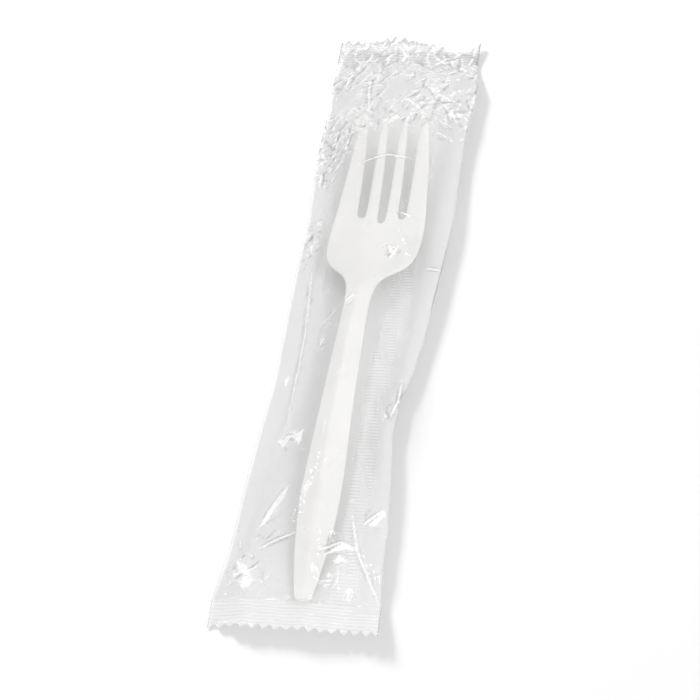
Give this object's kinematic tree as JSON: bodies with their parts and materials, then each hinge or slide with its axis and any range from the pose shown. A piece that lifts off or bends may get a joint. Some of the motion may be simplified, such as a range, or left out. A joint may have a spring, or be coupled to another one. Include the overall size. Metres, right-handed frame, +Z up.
{
  "type": "wrapped plastic fork",
  "caption": "Disposable white plastic fork with a ridged handle, sealed in a clear film sleeve with a folded back seal and crimped zigzag ends; lies flat.",
  "frame": {"origin": "centre of the bounding box on the surface the sleeve lies on", "axes": "+Y along the sleeve from the handle's end towards the tines, +X to the right seen from above with the tines away from the viewer, +Z up from the surface"},
  "size_m": [0.0458, 0.2004, 0.0126],
  "materials": {
    "clear_film": "thin clear polypropylene film, glossy, crinkled",
    "white_plastic": "satin moulded polypropylene, slightly translucent"
  },
  "bodies": {
    "root": {"film_wrapper": "clear_film", "fork": "white_plastic"}
  },
  "joints": []
}
